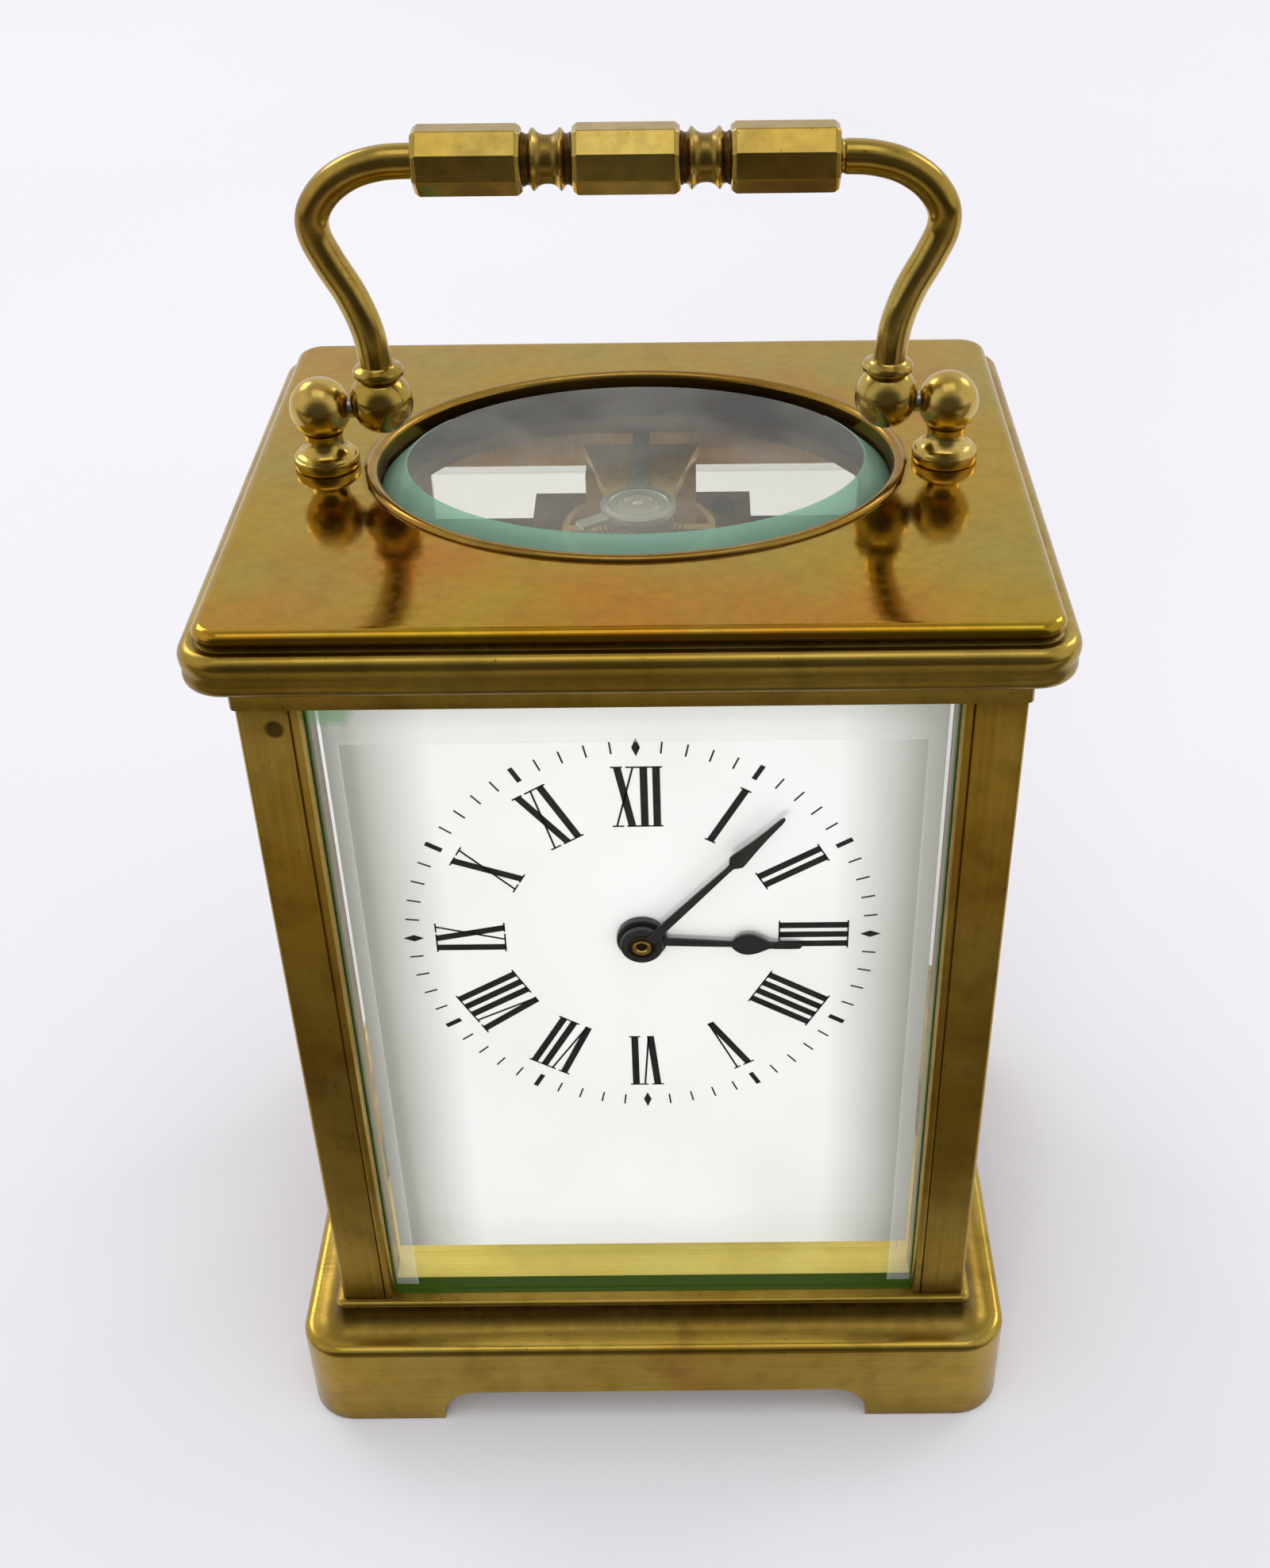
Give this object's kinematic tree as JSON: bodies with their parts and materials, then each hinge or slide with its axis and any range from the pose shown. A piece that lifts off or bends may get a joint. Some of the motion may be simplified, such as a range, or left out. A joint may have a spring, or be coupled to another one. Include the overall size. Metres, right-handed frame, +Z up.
{
  "type": "carriage clock",
  "caption": "Brass carriage clock: glazed pillared case with oval top light, folding carrying handle, rear door, enamel dial and a spring-driven movement with platform lever escapement.",
  "frame": {"origin": "bottom centre of the base, on the plane the feet stand on", "axes": "+Z up, dial and front glass face -Y, +X to the right seen from the front; handle upright at rest"},
  "size_m": [0.082, 0.069, 0.1398],
  "materials": {
    "base_moulding": "lacquered, aged",
    "base_floor": "lacquered, aged",
    "pillar_front_left": "lacquered, aged",
    "pillar_front_right": "lacquered, aged",
    "pillar_rear_left": "lacquered, aged",
    "pillar_rear_right": "lacquered, aged",
    "top_frame": "lacquered, aged",
    "oval_bezel": "lacquered, aged",
    "top_glass": "bevelled, clear, slightly green",
    "front_glass": "bevelled, clear, slightly green",
    "left_glass": "bevelled, clear, slightly green",
    "right_glass": "bevelled, clear, slightly green",
    "pillar_screws": "polished",
    "seat_screws": "polished",
    "handle_post_left": "lacquered, aged",
    "handle_post_right": "lacquered, aged",
    "handle_pivot_pins": "polished",
    "door_hinge_pins": "polished",
    "front_plate": "lacquered, aged",
    "back_plate": "lacquered, aged",
    "movement_columns": "lacquered, aged",
    "plate_screws": "polished",
    "dial": "white vitreous enamel",
    "dial_plate": "lacquered, aged",
    "platform_plate": "lacquered, aged",
    "platform_screws": "polished",
    "balance_cock": "lacquered, aged",
    "escape_bridge": "lacquered, aged",
    "escape_potence": "lacquered, aged",
    "click_screw": "polished",
    "handle_grip": "lacquered, aged",
    "handle_arm_left": "lacquered, aged",
    "handle_arm_right": "lacquered, aged",
    "door_frame": "lacquered, aged",
    "door_glass": "bevelled, clear, slightly green",
    "door_knob": "lacquered, aged",
    "barrel_drum": "lacquered, aged",
    "barrel_cover": "lacquered, aged",
    "mainspring": "polished",
    "barrel_arbor": "polished",
    "ratchet_wheel": "polished",
    "click": "polished",
    "centre_arbor": "polished",
    "centre_wheel": "lacquered, aged",
    "cannon_pinion": "polished",
    "minute_hand": "blued steel",
    "minute_wheel": "lacquered, aged",
    "hour_wheel": "lacquered, aged",
    "hour_hand": "blued steel",
    "third_arbor": "polished",
    "third_wheel": "lacquered, aged",
    "contrate_arbor": "polished",
    "contrate_wheel": "lacquered, aged",
    "escape_pinion": "polished",
    "escape_wheel": "polished",
    "pallet_lever": "polished",
    "balance_wheel": "lacquered, aged",
    "balance_staff": "polished",
    "hairspring": "polished",
    "regulator_index": "polished"
  },
  "bodies": {
    "case": {"base_moulding": "base_moulding", "base_floor": "base_floor", "pillar_front_left": "pillar_front_left", "pillar_front_right": "pillar_front_right", "pillar_rear_left": "pillar_rear_left", "pillar_rear_right": "pillar_rear_right", "top_frame": "top_frame", "oval_bezel": "oval_bezel", "top_glass": "top_glass", "front_glass": "front_glass", "left_glass": "left_glass", "right_glass": "right_glass", "pillar_screws": "pillar_screws", "seat_screws": "seat_screws", "handle_post_left": "handle_post_left", "handle_post_right": "handle_post_right", "handle_pivot_pins": "handle_pivot_pins", "door_hinge_pins": "door_hinge_pins", "front_plate": "front_plate", "back_plate": "back_plate", "movement_columns": "movement_columns", "plate_screws": "plate_screws", "dial": "dial", "dial_plate": "dial_plate", "platform_plate": "platform_plate", "platform_screws": "platform_screws", "balance_cock": "balance_cock", "escape_bridge": "escape_bridge", "escape_potence": "escape_potence", "click_screw": "click_screw"},
    "handle": {"handle_grip": "handle_grip", "handle_arm_left": "handle_arm_left", "handle_arm_right": "handle_arm_right"},
    "rear_door": {"door_frame": "door_frame", "door_glass": "door_glass", "door_knob": "door_knob"},
    "barrel": {"barrel_drum": "barrel_drum", "barrel_cover": "barrel_cover", "mainspring": "mainspring"},
    "winding_arbor": {"barrel_arbor": "barrel_arbor", "ratchet_wheel": "ratchet_wheel"},
    "click_pawl": {"click": "click"},
    "centre": {"centre_arbor": "centre_arbor", "centre_wheel": "centre_wheel", "cannon_pinion": "cannon_pinion", "minute_hand": "minute_hand"},
    "minute_work": {"minute_wheel": "minute_wheel"},
    "hour": {"hour_wheel": "hour_wheel", "hour_hand": "hour_hand"},
    "third": {"third_arbor": "third_arbor", "third_wheel": "third_wheel"},
    "contrate": {"contrate_arbor": "contrate_arbor", "contrate_wheel": "contrate_wheel"},
    "escape": {"escape_pinion": "escape_pinion", "escape_wheel": "escape_wheel"},
    "lever": {"pallet_lever": "pallet_lever"},
    "balance": {"balance_wheel": "balance_wheel", "balance_staff": "balance_staff", "hairspring": "hairspring"},
    "regulator": {"regulator_index": "regulator_index"}
  },
  "joints": [
    {"name": "handle_fold", "type": "hinge", "parent": "case", "child": "handle", "pos_m": [0, 0.0012, 0.11305], "axis": [1, 0, 0], "range_deg": [-95, 95]},
    {"name": "door_swing", "type": "hinge", "parent": "case", "child": "rear_door", "pos_m": [0.0284, 0.0282, 0.0572], "axis": [0, 0, -1], "range_deg": [0, 95]},
    {"name": "minute_turn", "type": "hinge", "parent": "case", "child": "centre", "pos_m": [0, 0, 0.06605], "axis": [0, 1, 0], "continuous": true},
    {"name": "hour_turn", "type": "hinge", "parent": "case", "child": "hour", "pos_m": [0, -0.022, 0.06605], "axis": [0, 1, 0], "continuous": true},
    {"name": "minute_wheel_turn", "type": "hinge", "parent": "case", "child": "minute_work", "pos_m": [-0.00707, -0.019, 0.05898], "axis": [0, 1, 0], "continuous": true},
    {"name": "barrel_turn", "type": "hinge", "parent": "case", "child": "barrel", "pos_m": [0, 0, 0.04589], "axis": [0, 1, 0], "continuous": true},
    {"name": "third_turn", "type": "hinge", "parent": "case", "child": "third", "pos_m": [-0.00555, 0.003, 0.08031], "axis": [0, 1, 0], "continuous": true},
    {"name": "contrate_turn", "type": "hinge", "parent": "case", "child": "contrate", "pos_m": [0.0072, 0, 0.08], "axis": [0, 1, 0], "continuous": true},
    {"name": "escape_turn", "type": "hinge", "parent": "case", "child": "escape", "pos_m": [0.0072, -0.0035, 0.091], "axis": [0, 0, 1], "continuous": true},
    {"name": "winding_turn", "type": "hinge", "parent": "case", "child": "winding_arbor", "pos_m": [0, 0.019, 0.04589], "axis": [0, 1, 0], "range_deg": [0, 1800]},
    {"name": "click_lift", "type": "hinge", "parent": "case", "child": "click_pawl", "pos_m": [0.0096, 0.019, 0.052], "axis": [0, 1, 0], "range_deg": [0, 14], "stiffness_Nm_per_rad": 0.002},
    {"name": "lever_rock", "type": "hinge", "parent": "case", "child": "lever", "pos_m": [0.0042, -0.0003, 0.0946], "axis": [0, 0, 1], "range_deg": [-5, 5]},
    {"name": "balance_swing", "type": "hinge", "parent": "case", "child": "balance", "pos_m": [0, 0.0045, 0.0975], "axis": [0, 0, 1], "range_deg": [-270, 270], "stiffness_Nm_per_rad": 0.0000044},
    {"name": "regulator_turn", "type": "hinge", "parent": "case", "child": "regulator", "pos_m": [0, 0.0045, 0.1002], "axis": [0, 0, 1], "range_deg": [-20, 20]}
  ],
  "couplings": [
    {"joint": "hour_turn", "follows": "minute_turn", "ratio": 0.083333},
    {"joint": "minute_wheel_turn", "follows": "minute_turn", "ratio": -0.33333},
    {"joint": "barrel_turn", "follows": "minute_turn", "ratio": -0.14286},
    {"joint": "third_turn", "follows": "minute_turn", "ratio": -8},
    {"joint": "contrate_turn", "follows": "minute_turn", "ratio": 60},
    {"joint": "escape_turn", "follows": "minute_turn", "ratio": -600}
  ]
}
